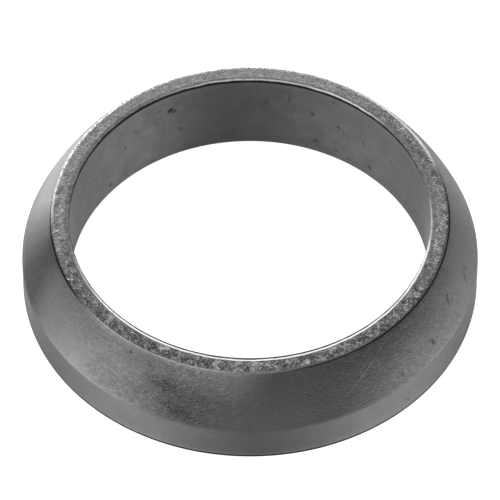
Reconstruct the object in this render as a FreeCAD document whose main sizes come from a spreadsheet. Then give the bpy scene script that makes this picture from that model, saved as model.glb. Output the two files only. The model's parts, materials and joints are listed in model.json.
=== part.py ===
import FreeCAD, Part
import enum
import os

import Sketcher


# Exhaust ring gasket: knitted wire and graphite, pressed to its final form in one
# die. It is a single solid of revolution about Z, with its flat base on Z = 0.
#
# The section, from the outside in: a short cylindrical band, a convex ball seat
# whose centre lies on the ring's own axis, a flat nose, a shallow burnished lip at
# the mouth of the bore, and the plain cylindrical bore that slides over the pipe.

NODE = "seal_ring"

# Driving dimensions in millimetres: name, value and what the value sets.
DIMENSIONS = [
    ("bore_diameter", "57.4", "slides over the end of a 57 mm pipe"),
    ("base_width", "7.55", "radial width of the base, bore to band"),
    ("nose_width", "2.7", "radial width of the nose, bore to seat"),
    ("overall_height", "15.2", "base to nose"),
    ("band_height", "6.35", "base to the start of the ball seat"),
    ("crease_rounding", "1.8", "soft blend of band into seat"),
    ("nose_edge_rounding", "0.35", "outer edge of the nose"),
    ("lip_width", "0.55", "burnished lip, across the nose"),
    ("lip_depth", "0.08", "burnished lip, down the bore"),
    ("base_edge_rounding", "0.25", "outer edge of the base"),
]

# How near an edge has to lie to the place where it is looked for, in millimetres.
EDGE_TOLERANCE = 0.01


class At(enum.IntEnum):
    """The places on a sketched line or arc that a constraint can hold."""

    START = 1
    END = 2
    CENTRE = 3


class Datum(enum.IntEnum):
    """The sketch's own origin and axes."""

    HORIZONTAL_AXIS = -1
    VERTICAL_AXIS = -2
    ORIGIN = -1


def add_dimension_sheet(doc):
    """Put every driving dimension in a spreadsheet, with its alias and its use."""
    sheet = doc.addObject("Spreadsheet::Sheet", "Dimensions")
    for row, (alias, value, use) in enumerate(DIMENSIONS, start=1):
        sheet.set(f"A{row}", alias)
        sheet.set(f"B{row}", value)
        sheet.setAlias(f"B{row}", alias)
        sheet.set(f"C{row}", use)
    doc.recompute()
    return sheet


def origin_plane(body, role):
    """Return the body's own origin plane with the given role."""
    for feature in body.Origin.OriginFeatures:
        if feature.Role == role:
            return feature
    raise ValueError(f"{body.Label} has no {role}")


def section_corners(sheet):
    """Work out the half section's corners, as (radius, height) points."""
    bore_radius = sheet.bore_diameter / 2
    band_radius = bore_radius + sheet.base_width
    seat_top_radius = bore_radius + sheet.nose_width
    lip_radius = bore_radius + sheet.lip_width
    lip_foot = sheet.overall_height - sheet.lip_depth
    return {
        "bore_foot": FreeCAD.Vector(bore_radius, 0, 0),
        "band_foot": FreeCAD.Vector(band_radius, 0, 0),
        "band_top": FreeCAD.Vector(band_radius, sheet.band_height, 0),
        "seat_top": FreeCAD.Vector(seat_top_radius, sheet.overall_height, 0),
        "lip_top": FreeCAD.Vector(lip_radius, sheet.overall_height, 0),
        "bore_mouth": FreeCAD.Vector(bore_radius, lip_foot, 0),
    }


def ball_seat_arc(band_top, seat_top):
    """Join the band to the nose with an arc whose centre lies on the ring's axis."""
    reach = band_top.Length**2 - seat_top.Length**2
    centre_height = reach / (2 * (band_top.y - seat_top.y))
    centre = FreeCAD.Vector(0, centre_height, 0)
    circle = Part.Circle(centre, FreeCAD.Vector(0, 0, 1), (seat_top - centre).Length)
    return Part.ArcOfCircle(circle, circle.parameter(band_top), circle.parameter(seat_top))


def drive(sketch, name, expression, *constraint):
    """Add a named distance to the sketch and tie it to the dimension sheet."""
    index = sketch.addConstraint(Sketcher.Constraint(*constraint))
    sketch.renameConstraint(index, name)
    sketch.setExpression(f"Constraints.{name}", f"Dimensions.{expression}")


def draw_section(body, corners):
    """Draw the half section: base, band, ball seat, nose, lip and bore."""
    sketch = body.newObject("Sketcher::SketchObject", "RingSection")
    sketch.AttachmentSupport = [(origin_plane(body, "XZ_Plane"), "")]
    sketch.MapMode = "FlatFace"

    seat_arc = ball_seat_arc(corners["band_top"], corners["seat_top"])
    base = sketch.addGeometry(Part.LineSegment(corners["bore_foot"], corners["band_foot"]))
    band = sketch.addGeometry(Part.LineSegment(corners["band_foot"], corners["band_top"]))
    seat = sketch.addGeometry(seat_arc)
    nose = sketch.addGeometry(Part.LineSegment(corners["seat_top"], corners["lip_top"]))
    lip = sketch.addGeometry(Part.LineSegment(corners["lip_top"], corners["bore_mouth"]))
    bore = sketch.addGeometry(Part.LineSegment(corners["bore_mouth"], corners["bore_foot"]))

    outline = [base, band, seat, nose, lip, bore]
    for line, next_line in zip(outline, outline[1:] + outline[:1]):
        sketch.addConstraint(
            Sketcher.Constraint("Coincident", line, At.END, next_line, At.START)
        )
    sketch.addConstraint([
        Sketcher.Constraint("PointOnObject", base, At.START, Datum.HORIZONTAL_AXIS),
        Sketcher.Constraint("Horizontal", base),
        Sketcher.Constraint("Vertical", band),
        Sketcher.Constraint("PointOnObject", seat, At.CENTRE, Datum.VERTICAL_AXIS),
        Sketcher.Constraint("Horizontal", nose),
        Sketcher.Constraint("Vertical", bore),
    ])

    bore_foot = (base, At.START)
    bore_mouth = (bore, At.START)
    drive(sketch, "bore_radius", "bore_diameter / 2",
          "DistanceX", Datum.ORIGIN, At.START, *bore_foot, corners["bore_foot"].x)
    drive(sketch, "base_width", "base_width",
          "DistanceX", *bore_foot, base, At.END, corners["band_foot"].x - corners["bore_foot"].x)
    drive(sketch, "nose_width", "nose_width",
          "DistanceX", *bore_mouth, nose, At.START, corners["seat_top"].x - corners["bore_foot"].x)
    drive(sketch, "lip_width", "lip_width",
          "DistanceX", *bore_mouth, lip, At.START, corners["lip_top"].x - corners["bore_foot"].x)
    drive(sketch, "overall_height", "overall_height",
          "DistanceY", *bore_foot, nose, At.START, corners["seat_top"].y)
    drive(sketch, "band_height", "band_height",
          "DistanceY", band, At.START, band, At.END, corners["band_top"].y)
    drive(sketch, "lip_depth", "lip_depth",
          "DistanceY", *bore_mouth, lip, At.START, corners["lip_top"].y - corners["bore_mouth"].y)
    return sketch


def revolve_section(body, sketch):
    """Turn the half section once round the ring's axis."""
    ring = body.newObject("PartDesign::Revolution", "PressedRing")
    ring.Profile = sketch
    ring.ReferenceAxis = (sketch, ["V_Axis"])
    ring.Angle = 360
    sketch.Visibility = False
    return ring


def circle_edge(feature, corner):
    """Name the feature's circular edge that runs through a section corner."""
    for number, edge in enumerate(feature.Shape.Edges, start=1):
        if not isinstance(edge.Curve, Part.Circle):
            continue
        off_radius = abs(edge.Curve.Radius - corner.x)
        off_height = abs(edge.Curve.Center.z - corner.y)
        if off_radius < EDGE_TOLERANCE and off_height < EDGE_TOLERANCE:
            return f"Edge{number}"
    raise ValueError(f"{feature.Label} has no edge at radius {corner.x}, height {corner.y}")


def round_edge(body, base, corner, name, size):
    """Round the base feature's edge at a section corner by a size from the sheet."""
    body.Document.recompute()
    fillet = body.newObject("PartDesign::Fillet", name)
    fillet.Base = (base, [circle_edge(base, corner)])
    fillet.setExpression("Radius", f"Dimensions.{size}")
    return fillet


def build_ring(doc, sheet):
    """Build the gasket: one turned section with its edges rounded."""
    body = doc.addObject("PartDesign::Body", "SealRing")
    body.Label = NODE
    body.Placement = FreeCAD.Placement()

    corners = section_corners(sheet)
    sketch = draw_section(body, corners)
    ring = revolve_section(body, sketch)
    crease = round_edge(body, ring, corners["band_top"], "CreaseBlend", "crease_rounding")
    nose = round_edge(body, crease, corners["seat_top"], "NoseEdge", "nose_edge_rounding")
    round_edge(body, nose, corners["band_foot"], "BaseEdge", "base_edge_rounding")
    doc.recompute()
    return body


def check_document(doc):
    """Stop if any object failed, or a body is not one valid solid."""
    for item in doc.Objects:
        if "Invalid" in item.State or "Error" in item.State:
            raise RuntimeError(f"{item.Label} failed: {item.State}")
        if item.isDerivedFrom("PartDesign::Body"):
            if item.Shape.isNull() or not item.Shape.isValid() or len(item.Shape.Solids) != 1:
                raise RuntimeError(f"{item.Label} is not one valid solid")


def main():
    """Build, check and write the gasket."""
    doc = FreeCAD.newDocument("ExhaustRingGasket")
    sheet = add_dimension_sheet(doc)
    body = build_ring(doc, sheet)
    check_document(doc)

    os.makedirs("parts", exist_ok=True)
    body.Shape.exportStep(f"parts/{body.Label}.step")

    box = body.Shape.optimalBoundingBox()
    print(f"{body.Label}: {box.XLength:.2f} x {box.YLength:.2f} x {box.ZLength:.2f} mm,"
          f" volume {body.Shape.Volume / 1000:.2f} cm3")


main()
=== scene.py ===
"""Looks of an exhaust ring gasket: knitted steel wire and graphite, pressed in one die.

The ring is one section turned round its axis. The cut wire ends that fill its nose are
short wires of their own, laid by a node tree, and every surface has a finish made from
nodes. Lengths are in millimetres in the classes, and in metres in Blender. Places round
the ring are in degrees from +X, so that -90 is its front, nearest the camera.
"""

import functools
import json
import logging
import math
from collections.abc import Iterable
from dataclasses import dataclass
from enum import Enum, IntEnum
from typing import Any

import bpy
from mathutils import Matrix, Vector


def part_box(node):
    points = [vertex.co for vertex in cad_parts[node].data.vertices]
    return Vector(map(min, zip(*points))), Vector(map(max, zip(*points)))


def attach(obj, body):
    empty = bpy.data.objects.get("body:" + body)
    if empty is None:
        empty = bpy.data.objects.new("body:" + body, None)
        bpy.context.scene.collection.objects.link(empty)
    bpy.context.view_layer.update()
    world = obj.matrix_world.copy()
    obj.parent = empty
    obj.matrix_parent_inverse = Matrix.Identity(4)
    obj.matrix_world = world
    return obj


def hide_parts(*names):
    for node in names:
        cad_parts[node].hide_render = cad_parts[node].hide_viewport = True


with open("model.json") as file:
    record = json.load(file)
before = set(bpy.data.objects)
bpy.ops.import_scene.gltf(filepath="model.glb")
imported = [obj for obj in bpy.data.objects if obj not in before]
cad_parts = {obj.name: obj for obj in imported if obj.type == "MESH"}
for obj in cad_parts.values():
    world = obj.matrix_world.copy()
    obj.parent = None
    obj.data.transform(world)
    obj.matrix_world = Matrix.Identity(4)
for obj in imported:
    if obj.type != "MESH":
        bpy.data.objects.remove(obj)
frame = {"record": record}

MM = 0.001
BODY = "root"
NODE = "seal_ring"
WIRE_TONE = "wire_tone"

log = logging.getLogger("gasket")

Point = tuple[float, float]
Triple = tuple[float, float, float]
Colour = tuple[float, float, float, float]
Node = bpy.types.Node
Tree = bpy.types.NodeTree
Socket = bpy.types.NodeSocket
Piece = bpy.types.Object
Material = bpy.types.Material
Inputs = dict[str | int, Any]


def linear(hex_colour: str) -> Colour:
    """Turn an sRGB hex colour into the linear colour that a shader takes.

    Args:
        hex_colour: six hex digits after a #.

    Returns:
        Red, green, blue and alpha, linear.
    """
    digits = hex_colour.lstrip("#")
    channels = []
    for start in (0, 2, 4):
        value = int(digits[start:start + 2], 16) / 255
        low = value / 12.92
        high = ((value + 0.055) / 1.055) ** 2.4
        channels.append(low if value <= 0.04045 else high)
    return (channels[0], channels[1], channels[2], 1.0)


def add_node(
    tree: Tree, kind: str, settings: dict[str, Any] | None = None, inputs: Inputs | None = None
) -> Node:
    """Add a node to a tree with its settings, and set or link its inputs.

    Args:
        tree: the node tree that takes the node.
        kind: the node's type name.
        settings: the node's own properties.
        inputs: values, output sockets or signals, by input name or number.

    Returns:
        The new node.
    """
    node = tree.nodes.new(kind)
    for name, value in (settings or {}).items():
        setattr(node, name, value)
    for key, value in (inputs or {}).items():
        source = value.socket if isinstance(value, Signal) else value
        if isinstance(source, Socket):
            tree.links.new(source, node.inputs[key])
        else:
            node.inputs[key].default_value = source
    return node


@dataclass(frozen=True)
class Shade:
    """How a number turns into another: from low at its start to high at its end."""

    start: float
    end: float
    low: float = 0.0
    high: float = 1.0
    smooth: bool = False


@dataclass(frozen=True)
class Signal:
    """A number that a node tree works out. A sum with it adds the nodes for that sum."""

    tree: Tree
    socket: Socket

    def joined(self, operation: str, other: "Signal | float") -> "Signal":
        """Join this number to another one.

        Args:
            operation: a math operation that takes two numbers, such as MAXIMUM.
            other: the second number.

        Returns:
            The outcome.
        """
        node = add_node(self.tree, "ShaderNodeMath", {"operation": operation}, {0: self, 1: other})
        return Signal(self.tree, node.outputs[0])

    def __add__(self, other: "Signal | float") -> "Signal":
        """Add another number."""
        return self.joined("ADD", other)

    def __mul__(self, other: "Signal | float") -> "Signal":
        """Multiply by another number."""
        return self.joined("MULTIPLY", other)

    __radd__ = __add__
    __rmul__ = __mul__

    def ramp(
        self, start: float, end: float, low: float = 0.0, high: float = 1.0, smooth: bool = False
    ) -> "Signal":
        """Go from low to high while this number goes from start to end, and hold both.

        Args:
            start: where the outcome leaves low.
            end: where it reaches high, above or below the start.
            low: the outcome on the start's side.
            high: the outcome on the end's side.
            smooth: whether it leaves and reaches them gently.

        Returns:
            The outcome.
        """
        kind = "SMOOTHSTEP" if smooth else "LINEAR"
        node = add_node(self.tree, "ShaderNodeMapRange", {"interpolation_type": kind}, {
            "Value": self,
            "From Min": start,
            "From Max": end,
            "To Min": low,
            "To Max": high,
        })
        return Signal(self.tree, node.outputs["Result"])

    def shaded(self, shade: Shade) -> "Signal":
        """Turn this number into another as a shade says."""
        return self.ramp(shade.start, shade.end, shade.low, shade.high, shade.smooth)


def combined(operation: str, signals: Iterable[Signal]) -> Signal:
    """Join several numbers by one operation, such as MAXIMUM."""
    return functools.reduce(lambda first, second: first.joined(operation, second), signals)


def painted(share: Signal, under: str | Socket, over: str) -> Socket:
    """Lay a colour over another.

    Args:
        share: how much of the upper colour shows, from 0 to 1.
        under: the lower colour, as a hex colour or a socket.
        over: the upper hex colour.

    Returns:
        The colour that is seen.
    """
    lower = linear(under) if isinstance(under, str) else under
    node = add_node(share.tree, "ShaderNodeMix", {"data_type": "RGBA"}, {
        0: share,
        6: lower,
        7: linear(over),
    })
    return node.outputs[2]


def open_tree(name: str, sockets: dict[str, str]) -> tuple[Tree, Node]:
    """Start a geometry node tree with named inputs and one geometry as its output.

    Args:
        name: the tree's name.
        sockets: the kind of each input, by its name.

    Returns:
        The tree and its group input.
    """
    tree = bpy.data.node_groups.new(name, "GeometryNodeTree")
    for socket_name, kind in sockets.items():
        tree.interface.new_socket(socket_name, in_out="INPUT", socket_type=f"NodeSocket{kind}")
    tree.interface.new_socket("Result", in_out="OUTPUT", socket_type="NodeSocketGeometry")
    return tree, add_node(tree, "NodeGroupInput")


def close_tree(tree: Tree, geometry: Socket, finish: Socket) -> None:
    """End a geometry node tree: real meshes with a finish.

    Args:
        tree: the geometry node tree.
        geometry: what it has made.
        finish: the material for it.
    """
    real = add_node(tree, "GeometryNodeRealizeInstances", inputs={"Geometry": geometry})
    dressed = add_node(tree, "GeometryNodeSetMaterial", inputs={
        "Geometry": real.outputs["Geometry"],
        "Material": finish,
    })
    add_node(tree, "NodeGroupOutput", inputs={"Result": dressed.outputs["Geometry"]})


def grow(name: str, start: bpy.types.Mesh, tree: Tree, inputs: dict[str, Any]) -> Piece:
    """Make a piece by running a geometry node tree on a mesh, and keep it as a plain mesh.

    Args:
        name: the piece's name.
        start: the mesh that the tree starts from.
        tree: the geometry node tree.
        inputs: the tree's named inputs.

    Returns:
        The piece.
    """
    piece = bpy.data.objects.new(name, start)
    bpy.context.scene.collection.objects.link(piece)
    modifier = piece.modifiers.new("grow", "NODES")
    modifier.node_group = tree
    for item in tree.interface.items_tree:
        if item.in_out == "INPUT" and item.name in inputs:
            modifier[item.identifier] = inputs[item.name]
    bpy.context.view_layer.update()
    evaluated = piece.evaluated_get(bpy.context.evaluated_depsgraph_get())
    mesh = bpy.data.meshes.new_from_object(evaluated)
    piece.modifiers.remove(modifier)
    piece.data = mesh
    mesh.name = name
    return piece


def place(piece: Piece) -> None:
    """Let a finished piece ride with the ring, in its place, and hide the solid that it stands in
    for.

    Args:
        piece: the piece, as a plain mesh.
    """
    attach(piece, BODY)
    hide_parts(NODE)


class Zone(Enum):
    """The ring's surfaces, each with a finish of its own. The value is its material slot."""

    BORE = 0
    LIP = 1
    NOSE = 2
    SEAM = 3
    SEAT = 4
    BASE = 5


@dataclass(frozen=True)
class RingSizes:
    """The pressed ring's sizes in millimetres, as the solid has them."""

    bore_radius: float
    outer_radius: float
    height: float
    band_height: float = 6.35
    nose_width: float = 2.7
    crease_rounding: float = 1.8
    nose_edge_rounding: float = 0.35
    lip_width: float = 0.55
    lip_depth: float = 0.08
    base_edge_rounding: float = 0.25

    @classmethod
    def from_frame(cls) -> "RingSizes":
        """Read the outside from the solid and the bore from the record's mount.

        Returns:
            The ring's sizes.
        """
        low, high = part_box(NODE)
        mounts = {mount["name"]: mount for mount in frame["record"]["mounts"]}
        return cls(
            bore_radius=mounts["pipe_bore"]["dims"]["r_mm"],
            outer_radius=high.x / MM,
            height=(high.z - low.z) / MM,
        )

    @property
    def nose_radius(self) -> float:
        """Radius where the ball seat meets the nose."""
        return self.bore_radius + self.nose_width

    @property
    def seat_centre(self) -> float:
        """Work out where the ball seat's centre lies on the ring's axis.

        Returns:
            Its height over the base.
        """
        band_reach = self.outer_radius**2 + self.band_height**2
        nose_reach = self.nose_radius**2 + self.height**2
        return (band_reach - nose_reach) / (2 * (self.band_height - self.height))

    @property
    def seat_radius(self) -> float:
        """Radius of the ball seat."""
        return math.hypot(self.outer_radius, self.band_height - self.seat_centre)

    def outside_at(self, height: float) -> float:
        """Radius of the band or the ball seat at a height."""
        on_seat = math.sqrt(self.seat_radius**2 - (height - self.seat_centre) ** 2)
        return min(self.outer_radius, on_seat)


@dataclass(frozen=True)
class Trim:
    """The small forms that the die leaves at the nose and mouth, in millimetres.

    The edge share is how much of the nose edge's rounding the rim and groove take up.
    """

    bed_depth: float = 0.08
    bed_slope: float = 0.05
    roll_height: float = 1.5
    roll_depth: float = 0.20
    mouth_rounding: float = 0.16
    foot_rounding: float = 0.08
    rim_width: float = 0.27
    rim_drop: float = 0.10
    groove_width: float = 0.17
    groove_depth: float = 0.13
    edge_share: float = 0.8


@dataclass(frozen=True)
class Spacing:
    """How far apart the section's points lie, in millimetres."""

    coarse: float = 0.9
    fine: float = 0.3
    edge: float = 0.06


def straight(start: Point, end: Point, spacing: float) -> list[Point]:
    """Divide a straight stretch evenly, leaving out its last point.

    Args:
        start: first point, as radius and height.
        end: last point.
        spacing: largest distance between points.

    Returns:
        The points from start up to the one before end.
    """
    count = max(1, math.ceil(math.dist(start, end) / spacing))
    points = []
    for index in range(count):
        share = index / count
        points.append((
            start[0] + share * (end[0] - start[0]),
            start[1] + share * (end[1] - start[1]),
        ))
    return points


def arc(centre: Point, start: Point, end: Point, spacing: float) -> list[Point]:
    """Divide an arc evenly, going the short way and leaving out its last point.

    Args:
        centre: the arc's centre, as radius and height.
        start: first point on the arc.
        end: last point on the arc.
        spacing: largest distance between points.

    Returns:
        The points from start up to the one before end.
    """
    radius = math.dist(centre, start)
    first = math.atan2(start[1] - centre[1], start[0] - centre[0])
    last = math.atan2(end[1] - centre[1], end[0] - centre[0])
    turn = (last - first + math.pi) % math.tau - math.pi
    count = max(2, math.ceil(radius * abs(turn) / spacing))
    points = []
    for index in range(count):
        angle = first + turn * index / count
        points.append((
            centre[0] + radius * math.cos(angle),
            centre[1] + radius * math.sin(angle),
        ))
    return points


@dataclass(frozen=True)
class RingSection:
    """The closed outline that is turned into the ring, as radius and height points."""

    sizes: RingSizes
    trim: Trim = Trim()
    spacing: Spacing = Spacing()

    def crease_arc(self) -> tuple[Point, Point, Point]:
        """Work out the soft blend between the band and the seat.

        Returns:
            Its centre, and where it leaves the band and the seat.
        """
        sizes = self.sizes
        inner = sizes.seat_radius - sizes.crease_rounding
        x = sizes.outer_radius - sizes.crease_rounding
        rise = math.sqrt(inner**2 - x**2)
        share = sizes.seat_radius / inner
        centre = (x, sizes.seat_centre + rise)
        on_seat = (x * share, sizes.seat_centre + rise * share)
        return centre, (sizes.outer_radius, centre[1]), on_seat

    def seat_top(self) -> Point:
        """Where the seat begins, just under the nose's rounded edge."""
        height = self.sizes.height - self.sizes.nose_edge_rounding * self.trim.edge_share
        return self.sizes.outside_at(height), height

    @property
    def bed_height(self) -> float:
        """Height of the bed that the nose's wires lie in."""
        return self.sizes.height - self.trim.bed_depth

    @property
    def bed_start(self) -> float:
        """Radius where the bed begins, just outside the lip."""
        return self.sizes.bore_radius + self.sizes.lip_width + self.trim.bed_slope

    @property
    def bed_end(self) -> float:
        """Radius where the bed ends and the nose's rim begins."""
        return self.rim_edge - self.trim.rim_width

    @property
    def rim_edge(self) -> float:
        """Radius where the rim ends, at the groove beside the seat."""
        return self.seat_top()[0] - self.trim.groove_width

    def points(self) -> list[Point]:
        """Lay out the section's closed outline.

        Returns:
            Every point of it, clockwise from the foot of the bore.
        """
        sizes = self.sizes
        trim = self.trim
        gap = self.spacing
        crease, band_top, seat_foot = self.crease_arc()
        bore = sizes.bore_radius
        mouth = sizes.height - sizes.lip_depth
        turn = trim.mouth_rounding
        foot = trim.foot_rounding
        base = sizes.base_edge_rounding
        outer = sizes.outer_radius
        seat_top = self.seat_top()
        rolled = bore - trim.roll_depth
        bore_foot = (bore, foot)
        roll_start = (bore, mouth - trim.roll_height)
        bore_mouth = (rolled, mouth - turn)
        lip_edge = (rolled + turn, mouth)
        lip_top = (bore + sizes.lip_width, sizes.height)
        bed_inner = (self.bed_start, self.bed_height)
        bed_outer = (self.bed_end, self.bed_height)
        rim = (self.rim_edge, self.bed_height - trim.rim_drop)
        rim_rise = (trim.rim_width**2 - trim.rim_drop**2) / (2 * trim.rim_drop)
        rim_centre = (self.bed_end, rim[1] - rim_rise)
        groove = (self.rim_edge + trim.groove_width / 2, rim[1] - trim.groove_depth)
        band_foot = (outer, base)
        base_outer = (outer - base, 0.0)
        base_inner = (bore + foot, 0.0)

        outline = straight(bore_foot, roll_start, gap.coarse)
        outline += straight(roll_start, bore_mouth, gap.fine)
        outline += arc((rolled + turn, mouth - turn), bore_mouth, lip_edge, gap.edge)
        outline += straight(lip_edge, lip_top, gap.fine)
        outline += straight(lip_top, bed_inner, gap.edge)
        outline += straight(bed_inner, bed_outer, gap.fine)
        outline += arc(rim_centre, bed_outer, rim, gap.edge)
        outline += straight(rim, groove, gap.edge)
        outline += straight(groove, seat_top, gap.edge)
        outline += arc((0.0, sizes.seat_centre), seat_top, seat_foot, gap.fine)
        outline += arc(crease, seat_foot, band_top, gap.fine)
        outline += straight(band_top, band_foot, gap.coarse)
        outline += arc((outer - base, base), band_foot, base_outer, gap.edge)
        outline += straight(base_outer, base_inner, gap.coarse)
        outline += arc((bore + foot, foot), base_inner, bore_foot, gap.edge)
        return outline

    def zone(self, radius: float, height: float) -> Zone:
        """Tell which surface a point of the ring belongs to.

        Args:
            radius: the point's distance from the axis.
            height: the point's height over the base.

        Returns:
            The surface's zone.
        """
        sizes = self.sizes
        mouth = sizes.height - sizes.lip_depth
        on_wall = radius < sizes.bore_radius + self.trim.foot_rounding
        if on_wall and height < mouth - self.trim.mouth_rounding:
            return Zone.BORE
        if height < self.trim.foot_rounding / 2:
            return Zone.BASE
        if radius < sizes.bore_radius + sizes.lip_width:
            return Zone.LIP
        if radius < self.bed_end:
            return Zone.NOSE
        if radius < self.seat_top()[0]:
            return Zone.SEAM
        return Zone.SEAT


@dataclass(frozen=True)
class Spot:
    """Where a point lies on the ring, in millimetres."""

    tree: Tree
    place: Socket
    height: Signal
    radius: Signal
    direction: Socket

    @classmethod
    def at(cls, tree: Tree, point: Socket) -> "Spot":
        """Split a point round the ring's axis.

        Args:
            tree: the tree that holds the point.
            point: its coordinates in metres.

        Returns:
            The spot.
        """
        place = add_node(tree, "ShaderNodeVectorMath", {"operation": "SCALE"}, {
            0: point,
            "Scale": 1 / MM,
        }).outputs[0]
        height = add_node(tree, "ShaderNodeSeparateXYZ", inputs={0: place}).outputs[2]
        flat = add_node(tree, "ShaderNodeVectorMath", {"operation": "MULTIPLY"}, {
            0: place,
            1: (1.0, 1.0, 0.0),
        }).outputs[0]
        length = add_node(tree, "ShaderNodeVectorMath", {"operation": "LENGTH"}, {0: flat})
        radius = Signal(tree, length.outputs["Value"])
        unit = add_node(tree, "ShaderNodeVectorMath", {"operation": "NORMALIZE"}, {0: flat})
        return cls(tree, place, Signal(tree, height), radius, unit.outputs[0])

    def wrapped(self, reach: float, across: Signal) -> Socket:
        """Lay the surface round a cylinder, so that a pattern meets itself without a seam.

        Args:
            reach: the cylinder's radius.
            across: what runs along the cylinder, height on a wall or radius on a flat.

        Returns:
            The point on that cylinder.
        """
        rise = add_node(self.tree, "ShaderNodeCombineXYZ", inputs={2: across})
        point = add_node(self.tree, "ShaderNodeVectorMath", {"operation": "MULTIPLY_ADD"}, {
            0: self.direction,
            1: (reach, reach, reach),
            2: rise.outputs[0],
        })
        return point.outputs[0]


@dataclass(frozen=True)
class Sector:
    """A stretch of the ring with a tone of its own: painted light and shade in most, wear in some.

    Its middle, half width and blur are in degrees. Where it has a slope, the amount grows
    from nothing at the slope's first height to its full size at the second.
    """

    middle: float
    half_width: float
    blur: float
    amount: float = 1.0
    slope: tuple[float, float] | None = None

    def mask(self, spot: Spot) -> Signal:
        """Work out how far a spot lies in the sector.

        Args:
            spot: where the finish is read.

        Returns:
            The amount inside the sector, falling softly to 0 outside.
        """
        turn = math.radians(self.middle)
        facing = add_node(spot.tree, "ShaderNodeVectorMath", {"operation": "DOT_PRODUCT"}, {
            0: spot.direction,
            1: (math.cos(turn), math.sin(turn), 0.0),
        })
        cosine = Signal(spot.tree, facing.outputs["Value"]).joined("MINIMUM", 1.0)
        away = add_node(spot.tree, "ShaderNodeMath", {"operation": "ARCCOSINE"}, {0: cosine})
        far = math.radians(self.half_width + self.blur)
        near = math.radians(self.half_width - self.blur)
        fade = Signal(spot.tree, away.outputs[0]).ramp(far, near, 0.0, self.amount, smooth=True)
        if self.slope is None:
            return fade
        return fade * spot.height.ramp(*self.slope)


Sectors = tuple[Sector, ...]


def added(spot: Spot, sectors: Sectors) -> Signal:
    """Add up the amounts of several sectors."""
    return combined("ADD", [sector.mask(spot) for sector in sectors])


def strongest(spot: Spot, sectors: Sectors) -> Signal:
    """Take the largest amount of several sectors."""
    return combined("MAXIMUM", [sector.mask(spot) for sector in sectors])


@dataclass(frozen=True)
class Mark:
    """An oval pit, scratch or smear on a wall of the ring, in degrees and millimetres.

    The tilt turns it on the wall, and 0 lays its length round the ring.
    """

    azimuth: float
    height: float
    length: float
    width: float
    tilt: float = 0.0
    amount: float = 1.0
    core: float = 0.3
    reach: float = 12.0

    def mask(self, tree: Tree, place: Socket, radius: float) -> Signal:
        """Return the mark's amount at its core, falling softly to 0 at its edge.

        Args:
            tree: the material's tree.
            place: the shaded point, bent as the mark's outline should be.
            radius: how far out the wall lies there.

        Returns:
            The mask.
        """
        turn = math.radians(self.azimuth)
        local = add_node(tree, "ShaderNodeMapping", {"vector_type": "TEXTURE"}, {
            "Vector": place,
            "Location": (radius * math.cos(turn), radius * math.sin(turn), self.height),
            "Rotation": (math.radians(self.tilt), 0.0, turn),
            "Scale": (self.reach, self.length / 2, self.width / 2),
        })
        away = add_node(tree, "ShaderNodeVectorMath", {"operation": "LENGTH"}, {0: local.outputs[0]})
        return Signal(tree, away.outputs["Value"]).ramp(1.0, self.core, 0.0, self.amount, smooth=True)


@dataclass(frozen=True)
class Lumps:
    """A soft random pattern, whose lumps have a size along X, Y and Z."""

    sizes: Triple
    detail: float = 2.0
    roughness: float = 0.6

    @classmethod
    def even(cls, size: float, detail: float = 2.0, roughness: float = 0.6) -> "Lumps":
        """Make lumps of the same size every way."""
        return cls((size, size, size), detail, roughness)

    def pattern(self, tree: Tree, place: Socket) -> Node:
        """Add the pattern's node.

        Args:
            tree: the tree that takes it.
            place: the point in millimetres at which it is read.

        Returns:
            The node.
        """
        point = add_node(tree, "ShaderNodeVectorMath", {"operation": "DIVIDE"}, {
            0: place,
            1: self.sizes,
        })
        return add_node(tree, "ShaderNodeTexNoise", inputs={
            "Vector": point.outputs[0],
            "Scale": 1.0,
            "Detail": self.detail,
            "Roughness": self.roughness,
        })

    def value(self, tree: Tree, place: Socket) -> Signal:
        """Return the pattern's height at a place, from 0 to 1."""
        return Signal(tree, self.pattern(tree, place).outputs["Fac"])

    def bend(self, spot: Spot, point: Socket, amount: float) -> Socket:
        """Push a point about by the pattern.

        Args:
            spot: where the pattern is read.
            point: the point that is pushed.
            amount: twice the furthest that it goes.

        Returns:
            The pushed point.
        """
        centred = add_node(spot.tree, "ShaderNodeVectorMath", {"operation": "SUBTRACT"}, {
            0: self.pattern(spot.tree, spot.place).outputs["Color"],
            1: (0.5, 0.5, 0.5),
        })
        pushed = add_node(spot.tree, "ShaderNodeVectorMath", {"operation": "MULTIPLY_ADD"}, {
            0: centred.outputs[0],
            1: (amount, amount, amount),
            2: point,
        })
        return pushed.outputs[0]


@dataclass(frozen=True)
class Slant:
    """Short streaks that climb round the ring at an angle, as knitted wire does."""

    angle: float
    width: float
    length: float

    def value(self, tree: Tree, wrapped: Socket, reach: float) -> Signal:
        """Return the streaks' height, from 0 to 1.

        Args:
            tree: the material's tree.
            wrapped: the point laid round a cylinder.
            reach: that cylinder's radius.

        Returns:
            The height.
        """
        along = add_node(tree, "ShaderNodeSeparateXYZ", inputs={0: wrapped})
        climb = math.tan(math.radians(self.angle)) / reach
        turned = add_node(tree, "ShaderNodeVectorRotate", {"rotation_type": "Z_AXIS"}, {
            "Vector": wrapped,
            "Angle": Signal(tree, along.outputs[2]) * climb,
        })
        streaks = Lumps((self.width, self.width, self.length), 1.0, 0.5)
        return streaks.value(tree, turned.outputs[0])


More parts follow.
